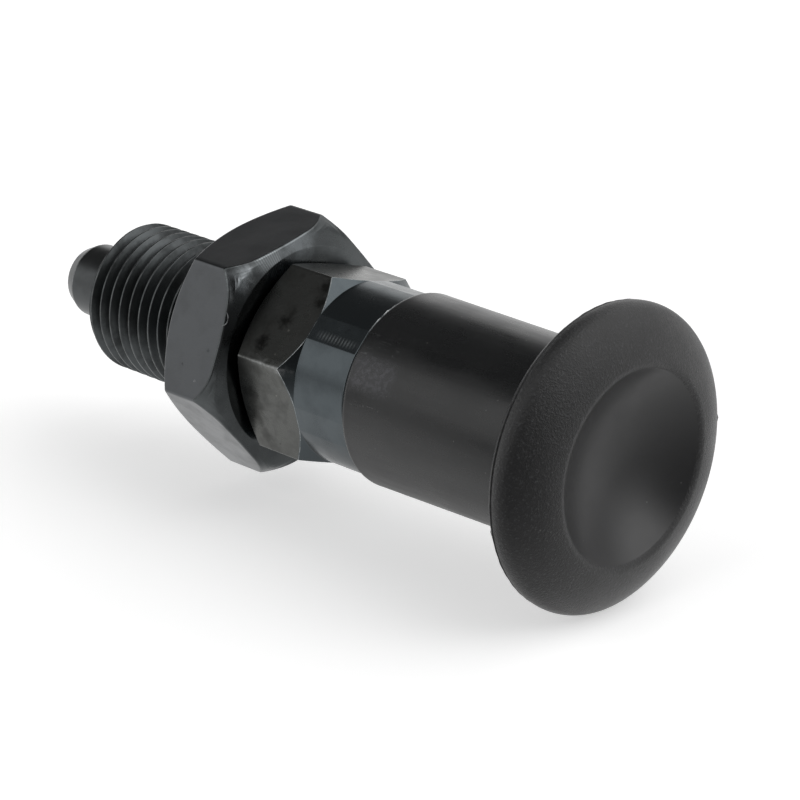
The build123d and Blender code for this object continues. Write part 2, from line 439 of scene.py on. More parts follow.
def nut_flat(x, along):
    """A place 0.14 mm over the lock nut's flat that faces -Y, so that a speck only grazes the steel."""
    return on_flat_at(NUT_TURN + 150, 12.2, x, along)


nut_flats = blacked_steel(
    "blacked nut flats", "#5c5e60", "#4c4d4e", 0.28, "drawn", 0.3,
    spots_and_highlights=[(nut_flat(-5.2, 3.4), 0.22, "#2c2d2e", 0.8), (nut_flat(-3.2, 1.9), 0.16, "#2c2d2e", 0.8),
           (nut_flat(-2.1, 1.2), 0.28, "#34393a", 0.7), (nut_flat(-3.0, 4.6), 0.20, "#c0c2c4", 0.6),
           (nut_flat(-2.6, -3.9), 0.14, "#2c2d2e", 0.7), (nut_flat(-4.9, -2.4), 0.12, "#c0c2c4", 0.6)])
nut_turned = blacked_steel(
    "blacked nut chamfers", "#545758", "#3d3f40", 0.24, "turned", 0.35,
    # painted highlights: these three big pale spots stand for the light that the rear chamfer catches
    spots_and_highlights=[(on_flat_at(112, 11.9, -0.8, 0), 2.2, "#82878a", 0.35),
           (on_flat_at(129, 12.6, -1.2, 0), 1.7, "#9a9fa2", 0.7),
           (on_flat_at(92, 11.9, -0.8, 0), 2.6, "#82878a", 0.6)],
    chatter_and_reflection=[("round", 1.3, (-3.0, -0.5, 1.5), (107.0, 117.0, 3.0), 0.25)])
print("nut:", nut_flats.name, "and", nut_turned.name)

# %% Steel for the thread, the pin and the spring
rolled_thread = blacked_steel("blacked thread", "#4d5051", "#242525", 0.34, "turned", 0.6)
ground_pin = blacked_steel("blacked ground pin", "#515354", "#3d3e3e", 0.3, "ground", 0.3)
spring_wire = blacked_steel("drawn spring wire", "#9a9c9c", "#6a6862", 0.3, "ground", 0.3)
print("small pieces:", rolled_thread.name, ground_pin.name, spring_wire.name)

# %% [markdown]
# ### Moulded nylon
# The knob is glass-filled nylon, black all through, and it copies its mould: pebbled where the
# steel was spark-eroded, smooth where it was polished, and faintly streaked along the sleeve where
# the part is drawn out. One function with a grain size covers all three, so they share their
# clouds and dust. A spanner that slipped off the hexagon has marked the sleeve beside the collar.

# %% The nylon finish
# marks on the sleeve, each (low, high, soft) along X in mm and round it in degrees
KNOCKS = ((16.4, 20.0, 1.4), (146.0, 157.0, 7.0))
SLIPS = ((15.6, 19.0, 1.5), (130.0, 141.0, 3.0))
CUTS = ((16.6, 19.6, 0.8), (166.5, 170.5, 1.0))
CUT_DEPTH, STREAK_DEPTH = 0.05, 0.012  # mm


def moulded(name, base, roughness, grain_mm, grain_depth, streaks=0.0):
    """Glass-filled nylon, nearly black. grain_mm is the size of the mould's spark craters.

    A spark-eroded mould gives pebbles, whose peaks are painted paler as painted glints. streaks is
    how far the drawing of the part from its mould, along X, marks the gloss.
    """
    material, tree = new_material(name)
    mm, x, _ = place_in_mm(tree)
    clouds = add(tree, "TexNoise", mm, Scale=0.22, Detail=4.0, Roughness=0.6)
    craters = add(tree, "TexNoise", mm, Scale=1.0 / grain_mm, Detail=3.0, Roughness=0.75)
    drawn = add(tree, "VectorMath MULTIPLY", mm, (0.10, 0.9, 0.9))
    lines = add(tree, "TexNoise", drawn, Scale=1.0, Detail=2.0, Roughness=0.5)
    # painted glints: the peaks of the craters are painted paler
    painted_glints = add(tree, "MapRange", craters, 0.56, 0.7, 0.0, min(12 * grain_depth, 0.6))
    body = add(tree, "MixRGB", painted_glints, colour(base), colour("#4a4b4d"))
    # painted shade on the seam's flanks and a painted highlight on its crest
    seam = add(tree, "Attribute", out="Fac", attribute_name="edge")
    body = add(tree, "MixRGB", add(tree, "MapRange", seam, 0.05, 0.3, 0.0, 0.9), body, colour("#050505"))
    body = add(tree, "MixRGB", add(tree, "MapRange", seam, 0.6, 0.9, 0.0, 0.9), body, colour("#5a5b5d"))
    dust = add(tree, "TexVoronoi", mm, Scale=0.5, out="Distance")
    body = add(tree, "MixRGB", add(tree, "MapRange", dust, 0.05, 0.03, 0.0, 0.7), body, colour("#5a5a58"))
    height = add(tree, "Math MULTIPLY", craters, grain_depth)
    height = add(tree, "Math ADD", height, add(tree, "Math MULTIPLY", lines, STREAK_DEPTH * streaks))
    if streaks:
        turn = angle_round_x(tree, mm)
        where = patch(tree, x, turn, *KNOCKS)
        knocks = add(tree, "Math MULTIPLY", add(tree, "MapRange", craters, 0.47, 0.6), where)
        slips = patch(tree, x, turn, *SLIPS)
        slips = add(tree, "Math MULTIPLY", hairlines(tree, mm, (0.35, 3.5, 3.5), 0.03), slips)
        cuts = patch(tree, x, turn, *CUTS)
        cuts = add(tree, "Math MULTIPLY", hairlines(tree, mm, (0.2, 2.2, 2.2), 0.06), cuts)
        marks = ((where, 0.4, "#303036"), (knocks, 0.35, "#58585e"), (slips, 0.5, "#5e6060"))
        for mark, share, tint in marks:
            body = add(tree, "MixRGB", add(tree, "Math MULTIPLY", mark, share), body, colour(tint))
        height = add(tree, "Math SUBTRACT", height, add(tree, "Math MULTIPLY", cuts, CUT_DEPTH))
    bump = add(tree, "Bump", Height=height, Strength=1.0, Distance=MM)
    rough = add(tree, "Math ADD", add(tree, "MapRange", clouds, 0.3, 0.7, roughness - 0.05, roughness + 0.05),
                add(tree, "MapRange", lines, 0.35, 0.65, -0.03 * streaks, 0.03 * streaks))
    add(tree, "OutputMaterial", add(tree, "BsdfPrincipled", body, Roughness=rough, IOR=1.53, Normal=bump))
    return material


grained = moulded("nylon, spark-eroded grain", "#19191a", 0.38, 0.24, 0.09)
satin = moulded("nylon, satin sleeve", "#151617", 0.29, 0.5, 0.006, streaks=1.0)
polished = moulded("nylon, polished dish", "#262627", 0.36, 0.9, 0.003)
print("knob:", grained.name, "|", satin.name, "|", polished.name)

# %% [markdown]
# ## The guide's head
# Hexagon and collar are one piece of bar. The collar is 0.2 mm wider than the bar is across its
# flats, so turning it leaves six narrow strips of flat along it. One outline for each angle, from
# the seat over the collar and back along the bore, makes the whole head a single closed skin.

# %% Hexagon, collar and the bore behind them
HEX_REAR = 8.0
SEAT_R, COLLAR_R, COLLAR_BEVEL = 9.3, 9.6, 0.25
BORE_R, NECK_R = 4.03, 2.56
STRIP_COLUMNS = (8.0, 8.276, 8.8)  # degrees from a flat's middle; a strip ends at the second
FLAT_FRONT, FLAT_REAR, BEVEL_FRONT, BEVEL_REAR = 2, 3, 5, 6  # corners of the outline, by number
BURR_AT, BURR_SPREAD, BURR_HEIGHT = 99, 25, 0.12  # degrees, degrees and mm
WORN_AT = HEX_TURN + 120  # the corner whose rear end is worn bright


def guide_head():
    """The head's closed outline at each angle, from the seat face over the collar and back along the bore.

    The seat side's chamfer is 30 degrees from the face, and the collar side's is 45.
    """
    angle, bar, corner = hexagon(HEX_FLATS, HEX_TURN, 0.22, extra=STRIP_COLUMNS)
    over = np.maximum(bar - COLLAR_R, 0)
    lower = np.minimum(bar, COLLAR_R)
    corners = outline(
        (0, BORE_R), (0, SEAT_R), ((bar - SEAT_R) * np.tan(np.radians(30)), bar), (HEX_REAR - over, bar),
        (HEX_REAR, lower), (GUIDE_REAR - COLLAR_BEVEL, lower), (GUIDE_REAR, lower - COLLAR_BEVEL),
        (GUIDE_REAR, NECK_R), (SPRING_REAR, NECK_R), (SPRING_REAR, BORE_R), columns=len(angle))
    points, edge = broken_edges(corners, [0.02, 0.06, 0.07, 0.07, 0.05, 0.08, 0.05, 0.05, 0.02, 0.02])
    row, step = np.divmod(np.arange(len(points)), PER_CORNER)
    # how far each edge is rubbed bright: the bar's two ends most, the collar's rim a little
    share = np.select([row == FLAT_FRONT, row == FLAT_REAR, np.isin(row, (BEVEL_FRONT, BEVEL_REAR))],
                      [0.5, 0.9, 0.1], 0.0)[:, None]
    edge = np.clip(edge * share, 0, 1)
    # a burr on the collar's bevel, torn over 50 degrees of it
    burr = np.exp(-(((np.degrees(angle) - BURR_AT) / BURR_SPREAD) ** 4))
    torn = burr * np.clip(0.7 + 0.4 * np.sin(31 * angle) + 0.4 * np.sin(77 * angle + 1), 0, 1)
    bevel = ((row == BEVEL_FRONT) & (step >= 2)) | ((row == BEVEL_REAR) & (step <= 2))
    edge = np.where(bevel[:, None], np.maximum(edge, 2.2 * torn[None, :]), edge)
    points[..., 1] += BURR_HEIGHT * torn[None, :] * bevel[:, None]
    # the hexagon's corners are rubbed along their length, and one of them at its rear end
    along = (row == FLAT_FRONT)[:, None] * corner[None, :]
    worn = 1.4 * np.exp(-(((np.degrees(angle) - WORN_AT) / 1.2) ** 2))[None, :] * (row == FLAT_REAR)[:, None]
    return ring(points[..., 0], points[..., 1], angle[None, :]), np.maximum(edge, 0.75 * along) + worn, row


points, edge, row = guide_head()
on_flat = (row == FLAT_FRONT)[:, None] & np.ones((1, points.shape[1]), bool)
piece("guide_head", points, grid_quads(*points.shape[:2], loop_rows=True), "guide", "guide",
      [turned_bar, drawn_bar], edge=edge, part=on_flat)

# %% [markdown]
# ## The thread
# A 1.5 mm fine thread: 60 degree flanks, a flat of an eighth of the pitch on the crest, and bends
# that are a little rounded. A screw modifier could sweep one tooth along, but its ends would need
# trimming. Here the grid's rows follow the helix, so every row stays on the crest, the flank or the
# root all the way round, and the crest is a clean line even with few columns.

# %% The thread's form
PITCH, MAJOR, DEPTH = 1.5, 8.0, 0.92
CREST = 1 / 16  # half of the crest's flat, in pitches


def thread_radius(u):
    """Radius of an M16 x 1.5 thread; u is the distance from the crest's middle, in pitches.

    It is flat for 1/16 to each side, falls with the 60 degree flank, and is flat again at the root.
    """
    u = np.abs((u + 0.5) % 1 - 0.5)
    flank = (u - CREST) * PITCH / np.tan(np.radians(30))
    return MAJOR - np.clip(flank, 0, DEPTH)


print("root radius", thread_radius(0.5), "mm")

# %% The threaded shank
FIRST_CREST = -25.35
RELIEF_FRONT, RELIEF_R, LEAD_R = -3.0, 6.9, 7.0
# rows of one pitch: close together where the form bends
ROWS = np.array([-0.5, -0.455, -0.425, -0.39, -0.24, -0.1, -0.075, -0.06, -0.03,
                 0.03, 0.06, 0.075, 0.1, 0.24, 0.39, 0.425, 0.455])
SOFTENING = 0.012  # how far the form's bends are rounded, in pitches
CREST_WORN = 0.3  # how far the crests are rubbed bright


def threaded_shank(columns=160):
    """The shank's grid: each row keeps its place in the thread and moves one pitch along in a turn."""
    turns = np.arange(-3, 18)
    u = (turns[:, None] + ROWS[None, :]).ravel()
    turn = np.arange(columns + 1) / columns
    x = FIRST_CREST + PITCH * (u[:, None] + turn[None, :])
    softened = np.array([thread_radius(u + d) for d in (-SOFTENING, 0, SOFTENING)]).mean(axis=0)
    radius = softened[:, None] * np.ones_like(x)
    x = np.clip(x, GUIDE_FRONT, RELIEF_FRONT)
    # 45 degree lead at the front end, and the run-out into the undercut at the back
    radius = np.minimum(radius, LEAD_R + (x - GUIDE_FRONT))
    radius = np.minimum(radius, RELIEF_R + np.maximum(RELIEF_FRONT - x, 0))
    from_crest = np.abs((u + 0.5) % 1 - 0.5)
    crest = CREST_WORN * np.clip(1 - (from_crest / 0.085) ** 2, 0, 1)[:, None] * (radius > MAJOR - 0.2)
    return x, radius, 2 * np.pi * turn, crest


x, radius, turn, crest = threaded_shank()
# the plain rest of the outline: undercut, seat, and back along the bore to the front face
plain = np.array([
    (RELIEF_FRONT, RELIEF_R), (-1.5, RELIEF_R), (0.0, RELIEF_R), (0.0, BORE_R), (-8.0, BORE_R),
    (-16.0, BORE_R), (GUIDE_FRONT + 0.3, BORE_R), (GUIDE_FRONT, BORE_R + 0.3), (GUIDE_FRONT, 5.6),
    (GUIDE_FRONT, LEAD_R)])
x = np.vstack([x, np.repeat(plain[:, :1], x.shape[1], axis=1)])
radius = np.vstack([radius, np.repeat(plain[:, 1:], radius.shape[1], axis=1)])
crest = np.vstack([crest, np.zeros((len(plain), crest.shape[1]))])
# the last column lies a pitch further on than the first, so no quads close the columns up
shank_quads = grid_quads(*x.shape, loop_rows=True).reshape(*x.shape, 4)[:, :-1].reshape(-1, 4)
piece("guide_thread", ring(x, radius, turn[None, :]), shank_quads, "guide", "guide",
      rolled_thread, edge=crest)

# %% [markdown]
# ## The lock nut
# A nut 24 mm across flats and 8 mm thick, chamfered on both faces. The front face has the steeper
# chamfer. The rear one starts further in and is shallow, so it meets the flats in long curves and
# falls off fast at the corners. It was drilled a little off centre, and the countersinks lead into
# the thread. It is worked out like the head, one closed outline for each angle.

# %% Nut
NUT_FLATS, NUT_CORNER = 24.0, 0.4
NUT_CENTRE = (0.05, 0.32)  # y and z of the hexagon's and chamfers' axis
FRONT_RING, FRONT_SLOPE = 11.8, 0.75  # radius of the ring left on the face, and mm of fall for each mm out
REAR_RING, REAR_SLOPE = 10.9, 0.27
FALL_OFF_FROM, FALL_OFF = 12.57, 0.9  # the extra fall at the corners
THREAD_BORE, SINK_R, SINK_DEPTH = 8.2, 8.6, 0.4
REAR_STEPS = 8  # rings of points over the rear chamfer


def lock_nut():
    """The nut's closed outline at each angle: front face, front chamfer, flat, rear chamfer, bore.

    The front chamfer falls 0.75 mm for each mm past 11.8 mm. The rear one falls 0.27 mm for each mm
    past 10.9 mm, and 0.9 s^1.5 more at the corners, with s the distance past 12.57 mm. Hexagon and
    chamfers share a centre, and the bore is a third of a millimetre off it.
    """
    angle, bar, corner = hexagon(NUT_FLATS, NUT_TURN, NUT_CORNER)
    wide = bar - 0.6 - REAR_RING
    rounding = [bar, *[REAR_RING + wide * k for k in np.linspace(1, 0, REAR_STEPS)]]
    fall = [REAR_SLOPE * (r - REAR_RING) + FALL_OFF * np.maximum(r - FALL_OFF_FROM, 0) ** 1.5
            for r in rounding]
    corners = outline(
        (NUT_FRONT, SINK_R), (NUT_FRONT, FRONT_RING), (NUT_FRONT + FRONT_SLOPE * (bar - FRONT_RING), bar),
        *[(NUT_REAR - f, r) for f, r in zip(fall, rounding)],
        (NUT_REAR, SINK_R), (NUT_REAR - SINK_DEPTH, THREAD_BORE), (NUT_FRONT + SINK_DEPTH, THREAD_BORE),
        columns=len(angle))
    points, edge = broken_edges(corners, [0.05, 0.08, 0.11, 0.15, *[0.05] * REAR_STEPS, 0.05, 0.03, 0.03])
    row, step = np.divmod(np.arange(len(points)), PER_CORNER)
    # both ends of a flat are rubbed, the rear one only on the flat's side of its rounding
    rear_share = np.array([0.3, 0.4, 0.2, 0.1, 0, 0])[step]
    share = np.where(row == FLAT_FRONT, 0.5, np.where(row == FLAT_REAR, rear_share, 0))[:, None]
    share = share * (1 - 0.8 * corner[None, :])
    mesh = ring(points[..., 0], points[..., 1], angle[None, :])
    outer = np.isin(row, range(1, FLAT_REAR + REAR_STEPS + 1))[:, None]
    mesh[..., 1] += outer * NUT_CENTRE[0]
    mesh[..., 2] += outer * NUT_CENTRE[1]
    return mesh, np.clip(edge * share, 0, 1), row


points, edge, row = lock_nut()
on_flat = (row == FLAT_FRONT)[:, None] & np.ones((1, points.shape[1]), bool)
piece("lock_nut_body", points, grid_quads(*points.shape[:2], loop_rows=True), "lock_nut", "lock_nut",
      [nut_turned, nut_flats], edge=edge, part=on_flat)

# %% [markdown]
# ### A sliver of burr
# The chamfering tool pushed a thread of steel over the edge of one flat, and it still hangs there
# by both ends. It is a tube along a smooth curve through five points, thin enough to look torn,
# and it tapers to nothing where it grows out of the flat.

# %% Sliver
def sliver(through, thickness, normal, distance):
    """A thin curl over a flat, through points (x, along), with its normal at an angle in degrees.

    It is a round tube of radius thickness * sqrt(sin(pi t)), t from 0 to 1 along it.
    """
    steps, around = 25, 8
    t, given = np.linspace(0, 1, steps), np.linspace(0, 1, len(through))
    x, along = (np.polyval(np.polyfit(given, one, len(through) - 1), t) for one in np.transpose(through))
    a = np.radians(normal)
    out, beside = np.array([0, np.cos(a), np.sin(a)]), np.array([0, -np.sin(a), np.cos(a)])
    middle = x[:, None] * np.array([1.0, 0, 0]) + along[:, None] * beside + distance * out
    middle = middle + np.array([0, *NUT_CENTRE])
    way = np.gradient(middle, axis=0)
    across = np.cross(way / np.linalg.norm(way, axis=1, keepdims=True), out)
    phi = (2 * np.pi * np.arange(around) / around)[None, :, None]
    thick = (thickness * np.sqrt(np.clip(np.sin(np.pi * t), 0, 1)))[:, None, None]
    return middle[:, None] + thick * (np.cos(phi) * out + np.sin(phi) * across[:, None])


curl = sliver([(-0.95, -2.85), (-0.50, -2.45), (-0.38, -2.0), (-0.58, -1.6), (-1.05, -1.3)],
              0.06, NUT_TURN + 150, NUT_FLATS / 2 - 0.02)
piece("lock_nut_burr", curl, grid_quads(*curl.shape[:2]), "lock_nut", "lock_nut", nut_flats,
      edge=np.ones(curl.shape[:2]))

# %% [markdown]
# ## The locking pin
# The pin is ground to 8 mm and slides in the guide's bore. Its stem runs back through the spring
# and ends in three barbs inside the knob. It is a plain turned part, so one profile on the axis is
# enough, with its edges broken as on the head.

# %% Turned pieces
def turned(name, profile, columns, body, node, material, edge):
    """A profile of (x, radius) points carried round the X axis; it starts and ends on the axis."""
    profile = np.asarray(profile, float)
    angle = 2 * np.pi * np.arange(columns) / columns
    points = ring(profile[:, :1], profile[:, 1:], angle[None, :])
    spread = edge[:, None] * np.ones((1, columns))
    return piece(name, points, grid_quads(len(profile), columns), body, node, material, spread)


def rounded(points, size):
    """An open profile with its inner corners broken by broken_edges, and how far each point is edge."""
    corners = np.asarray(points, float)[:, None, :]
    soft, edge = broken_edges(corners, size)
    return soft[PER_CORNER:-PER_CORNER, 0], edge[PER_CORNER:-PER_CORNER, 0]


# %% Pin
PIN_R, NOSE_R, NOSE_LEAD = 4.0, 3.25, 1.6
STEM_R, BARB_HEIGHT, BARB_LENGTH, BARBS = 2.5, 0.3, 3.5, 3
SHOULDER_BEVEL = 0.3
barb_starts = [KNOB_FRONT + BARB_LENGTH * n for n in range(1, BARBS + 1)]
stem = [p for x in barb_starts for p in ((x, STEM_R), (x + BARB_LENGTH, STEM_R - BARB_HEIGHT))]
pin_profile, pin_edge = rounded(
    [(NOSE, 0), (NOSE, 0), (NOSE, NOSE_R), (NOSE + NOSE_LEAD, PIN_R),
     (SPRING_FRONT - SHOULDER_BEVEL, PIN_R), (SPRING_FRONT, PIN_R - SHOULDER_BEVEL), (SPRING_FRONT, STEM_R),
     *stem, (TAIL, 0), (TAIL, 0)], 0.12)
pin_profile = np.vstack([[(NOSE, 0)], pin_profile, [(TAIL, 0)]])
# only the nose's edges are rubbed
pin_edge = np.concatenate([[0], pin_edge, [0]]) * (pin_profile[:, 0] < -30)
turned("pin_body", pin_profile, 96, "plunger", "locking_pin", ground_pin, pin_edge)

# %% [markdown]
# ## The spring
# The spring is wound from 0.9 mm wire and its ends are ground flat, so it sits square against the
# pin's shoulder. A tube along a helix, half a wire longer at each end and then held between two
# planes, gives the ground ends without cutting the mesh.

# %% Spring
SPRING_R, WIRE_R, COILS = 3.265, 0.45, 8


def coil_tube(x_from, x_to, mean_r, wire_r, coils, around=14, per_turn=48):
    """A helix of round wire whose ends are ground off flat at x_from and x_to.

    The wire's middle is at (x, mean_r cos a, mean_r sin a) with x growing one pitch in a turn; the
    section is a circle in the plane across the helix.
    """
    pitch = (x_to - x_from) / coils
    a = np.arange(int((coils + 2 * wire_r / pitch) * per_turn) + 1) * 2 * np.pi / per_turn
    x = x_from - wire_r + pitch * a / (2 * np.pi)
    middle = np.stack([x, mean_r * np.cos(a), mean_r * np.sin(a)], axis=-1)
    along = np.stack([np.full_like(a, pitch / (2 * np.pi)), -mean_r * np.sin(a), mean_r * np.cos(a)], axis=-1)
    along /= np.linalg.norm(along, axis=-1, keepdims=True)
    out = np.stack([np.zeros_like(a), np.cos(a), np.sin(a)], axis=-1)
    side = np.cross(along, out)
    b = 2 * np.pi * np.arange(around) / around
    section = np.cos(b)[None, :, None] * out[:, None] + np.sin(b)[None, :, None] * side[:, None]
    points = middle[:, None] + wire_r * section
    # each end closes on its own middle
    points = np.concatenate([np.repeat(middle[:1, None], around, axis=1), points,
                             np.repeat(middle[-1:, None], around, axis=1)])
    points[..., 0] = np.clip(points[..., 0], x_from, x_to)
    return points


coil = coil_tube(SPRING_FRONT, SPRING_REAR, SPRING_R, WIRE_R, COILS)
spring = piece("spring_coil", coil, grid_quads(*coil.shape[:2]), "spring", "spring", spring_wire)
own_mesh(spring)

# %% [markdown]
# ## The pull knob
# One moulding: a sleeve with a little draft, a fillet into the flange, a round rim, a crown and a
# shallow dish for the palm. Its profile is a chain of arcs that touch each other, so that the
# gloss runs on from one to the next without a kink.

# %% From the rim to the dish
RIM_R, RIM_ROUND = 13.6, 1.9
RIM_X = KNOB_REAR - 3.6
DISH_R, DISH_DEPTH = 10.0, 4.0
DISH_EDGE = np.array([KNOB_REAR, DISH_R])
CROWN_FROM = 45  # degrees round the rim where the crown leaves it


def arc(x, r, radius, start, end, count):
    """Points on a circle about (x, r), from start to end in degrees, counted from +X towards the radius."""
    a = np.radians(np.linspace(start, end, count))
    return np.stack([x + radius * np.cos(a), r + radius * np.sin(a)], axis=-1)


# the crown's circle touches the rim's at 45 degrees and passes through the dish's edge
lean = np.radians(CROWN_FROM)
outward = np.array([np.cos(lean), np.sin(lean)])
crown_start = np.array([RIM_X, RIM_R]) + RIM_ROUND * outward
to_edge = DISH_EDGE - crown_start
crown_radius = -(to_edge @ to_edge) / (2 * to_edge @ outward)
crown_centre = crown_start - crown_radius * outward
end_angle = np.degrees(np.arctan2(*(DISH_EDGE - crown_centre)[::-1]))
dish_radius = (DISH_R**2 + DISH_DEPTH**2) / (2 * DISH_DEPTH)
dish_angle = np.degrees(np.arcsin(DISH_R / dish_radius))
dish = arc(KNOB_REAR - DISH_DEPTH + dish_radius, 0, dish_radius, 180, 180 - dish_angle, 60)
crown = arc(*crown_centre, crown_radius, end_angle, CROWN_FROM, 40)
# the dish's edge is rolled over: a curve between the points about 0.4 mm to each side of it
dish, crown = dish[dish[:, 1] < DISH_R - 0.33], crown[crown[:, 1] > DISH_R + 0.4]
t = np.linspace(0, 1, 9)[1:-1, None]
lip = (1 - t) ** 2 * dish[-1] + 2 * (1 - t) * t * DISH_EDGE + t**2 * crown[0]
print("crown radius", crown_radius.round(2), "dish radius", round(dish_radius, 2), "mm")

# %% From the rim to the socket
NECK_FILLET, SLEEVE_R, SLEEVE_ROUND = 3.0, 9.85, 0.5
SLEEVE_ENDS, SLEEVE_DRAFT = (35.6, 15.7), (9.852, 10.09)  # x and radius, from the flange to the collar
SOCKET_R, SOCKET_END = 2.5, TAIL + 0.6
SEAM_AT = (108, 122)  # degrees round the rim that need close rows for the seam
rim_angles = np.unique(np.concatenate([np.linspace(CROWN_FROM, 180, 40), np.linspace(*SEAM_AT, 29)]))
a = np.radians(rim_angles)
rim = np.stack([RIM_X + RIM_ROUND * np.cos(a), RIM_R + RIM_ROUND * np.sin(a)], axis=-1)
neck = arc(RIM_X - RIM_ROUND - NECK_FILLET, SLEEVE_R + NECK_FILLET, NECK_FILLET, 0, -90, 18)
sleeve = np.stack([np.linspace(*SLEEVE_ENDS, 26), np.linspace(*SLEEVE_DRAFT, 26)], axis=-1)
end_face = arc(KNOB_FRONT + SLEEVE_ROUND, 9.6, SLEEVE_ROUND, 90, 180, 7)
socket, _ = rounded([(KNOB_FRONT, 9.0), (KNOB_FRONT, 9.0), (KNOB_FRONT, SOCKET_R), (SOCKET_END, SOCKET_R),
                     (SOCKET_END, 0.5)], 0.15)
runs = [dish, lip, crown[:-1], rim, neck, sleeve, end_face, socket, np.array([(SOCKET_END, 0.0)])]
GRAINED, SATIN, POLISHED = 0, 1, 2
finish_of_run = [POLISHED, GRAINED, GRAINED, GRAINED, *[SATIN] * 5]
profile = np.vstack(runs)
finish = np.concatenate([np.full(len(r), z) for r, z in zip(runs, finish_of_run)])
print("knob profile", len(profile), "points")

# %% [markdown]
# ### Seam and nubs
# The two halves of the mould meet just behind the rim's widest line. They leave a thin raised seam
# with a fine groove beside it, and a nub where each end of the split ran out. Both are thin bumps
# along the rim's own circle, so they are added to the profile's points along that circle's radius.

# %% Seam and nubs on the rim
SEAM, SEAM_HALF, SEAM_HEIGHT = 115, 1.7, 0.09  # degrees round the rim, and mm
GROOVE, GROOVE_HALF, GROOVE_DEPTH = 110.5, 1.6, 0.10
NUBS = ((1.0, 47.0), (194.5, 152.0))  # degrees round the axis and round the rim
NUB_HEIGHT, NUB_HALF, NUB_LENGTH = 0.16, 1.3, 14
KNOB_COLUMNS = 300


def knob_surface(profile, columns):
    """The turned profile with the mould's seam raised on the rim and a nub at each end of the split.

    The seam is a ridge exp(-(d / 1.7 degrees)^2) high along the rim's round, d degrees from 115,
    with a groove of the same form in front of it where the mould's halves don't quite meet. A nub
    is the same kind of ridge in the angle round the axis too.
    """
    turn = 2 * np.pi * np.arange(columns) / columns
    x, r = profile[:, :1], profile[:, 1:]
    from_rim = np.hypot(x - RIM_X, r - RIM_R)
    on_rim = (np.abs(from_rim - RIM_ROUND) < 0.01) & (x < RIM_X + 1.4)
    along = np.degrees(np.arctan2(r - RIM_R, x - RIM_X))
    ripple = (0.8 + 0.2 * np.sin(23 * turn) * np.sin(7 * turn + 1) + 0.15 * np.sin(61 * turn + 2))[None, :]
    ridge = SEAM_HEIGHT * ripple * np.exp(-((along - SEAM) / SEAM_HALF) ** 2)
    groove = GROOVE_DEPTH * (1.4 - 0.4 * ripple) * np.exp(-((along - GROOVE) / GROOVE_HALF) ** 2)
    for at, where in NUBS:
        turned_by = (np.degrees(turn) - at + 180) % 360 - 180
        nub = np.exp(-(turned_by / NUB_HALF) ** 2)[None, :] * np.exp(-((along - where) / NUB_LENGTH) ** 2)
        ridge = ridge + NUB_HEIGHT * nub
    ridge, groove = np.where(on_rim, ridge, 0), np.where(on_rim, groove, 0)
    away = np.stack([x - RIM_X, r - RIM_R], axis=-1) / np.maximum(from_rim, 1e-9)[..., None]
    out = ridge - groove
    return x + out * away[..., 0], r + out * away[..., 1], turn, ridge / SEAM_HEIGHT


x, radius, turn, ridge = knob_surface(profile, KNOB_COLUMNS)
piece("knob_moulding", ring(x, radius, turn[None, :]), grid_quads(*x.shape), "plunger", "knob",
      [grained, satin, polished], edge=ridge, part=np.repeat(finish[:-1], KNOB_COLUMNS))

# %% [markdown]
# ## Stage, light and camera
# The plunger lies over a plain white table in a soft white studio that is darker overhead, so
# blacked steel shows pale reflections from the sides and below, and dark ones from above. Metal
# shows what is round it, so the studio is painted on the world's sphere, where each reflection can
# be placed by its direction, and no lamps are needed.

# %% Table
TABLE_GAP, TABLE_HALF = 0.0002, 4.0  # metres
ASIDE = (0.707, -0.707, 0)  # the side where the camera stands
DIM_FROM, DIM_TO, DIMMED = 0.018, 0.074, 0.25  # metres aside, and the level there
SHADE_FRONT, SHADE_REAR, SHADE_SOFT = 0.004, 0.030, 0.012  # metres along X, under the sleeve
SHADE_IN, SHADE_OUT = 0.004, 0.020  # and along Y, to each side
BOARD_GLOW = 0.45


def table_top(z, size):
    """A white board that keeps the object's shadow. What the metal mirrors of it, a painted reflection, dims
    to one side.

    The board shows white to the camera. Its painted reflection falls from full to a quarter between
    18 and 74 mm from the object, towards the side where the camera stands and no light comes from,
    and a painted shadow halves it under the knob's sleeve.
    """
    mesh = bpy.data.meshes.new("table")
    corners = [(-size, -size, z), (size, -size, z), (size, size, z), (-size, size, z)]
    mesh.from_pydata(corners, [], [(0, 1, 2, 3)])
    material, tree = new_material("matt white board")
    matt = add(tree, "BsdfDiffuse", colour("#f2f2f2"))
    seen = add(tree, "LightPath").node.outputs
    glow = add(tree, "Emission", Strength=add(tree, "Math MULTIPLY", seen["Is Camera Ray"], BOARD_GLOW))
    direct = add(tree, "AddShader", matt, glow)
    where = add(tree, "TexCoord", out="Object")
    aside = add(tree, "VectorMath DOT_PRODUCT", where, ASIDE, out="Value")
    level = add(tree, "MapRange", aside, DIM_FROM, DIM_TO, 1.0, DIMMED, interpolation_type="SMOOTHSTEP")
    # a painted shadow under the knob's sleeve, in the board's reflection only
    split = add(tree, "SeparateXYZ", where).node.outputs
    across = add(tree, "MapRange", add(tree, "Math ABSOLUTE", split["Y"]), SHADE_IN, SHADE_OUT, 0.5, 0.0)
    sleeve_side = window(tree, split["X"], SHADE_FRONT, SHADE_REAR, SHADE_SOFT)
    under = add(tree, "Math MULTIPLY", across, sleeve_side)
    level = add(tree, "Math MULTIPLY", level, add(tree, "Math SUBTRACT", 1.0, under))
    # glossy rays see a glow instead of the lit board: a painted reflection
    painted_reflection = add(tree, "Emission", Strength=level)
    add(tree, "OutputMaterial", add(tree, "MixShader", seen["Is Glossy Ray"], direct, painted_reflection))
    mesh.materials.append(material)
    made = bpy.data.objects.new("table", mesh)
    bpy.context.scene.collection.objects.link(made)


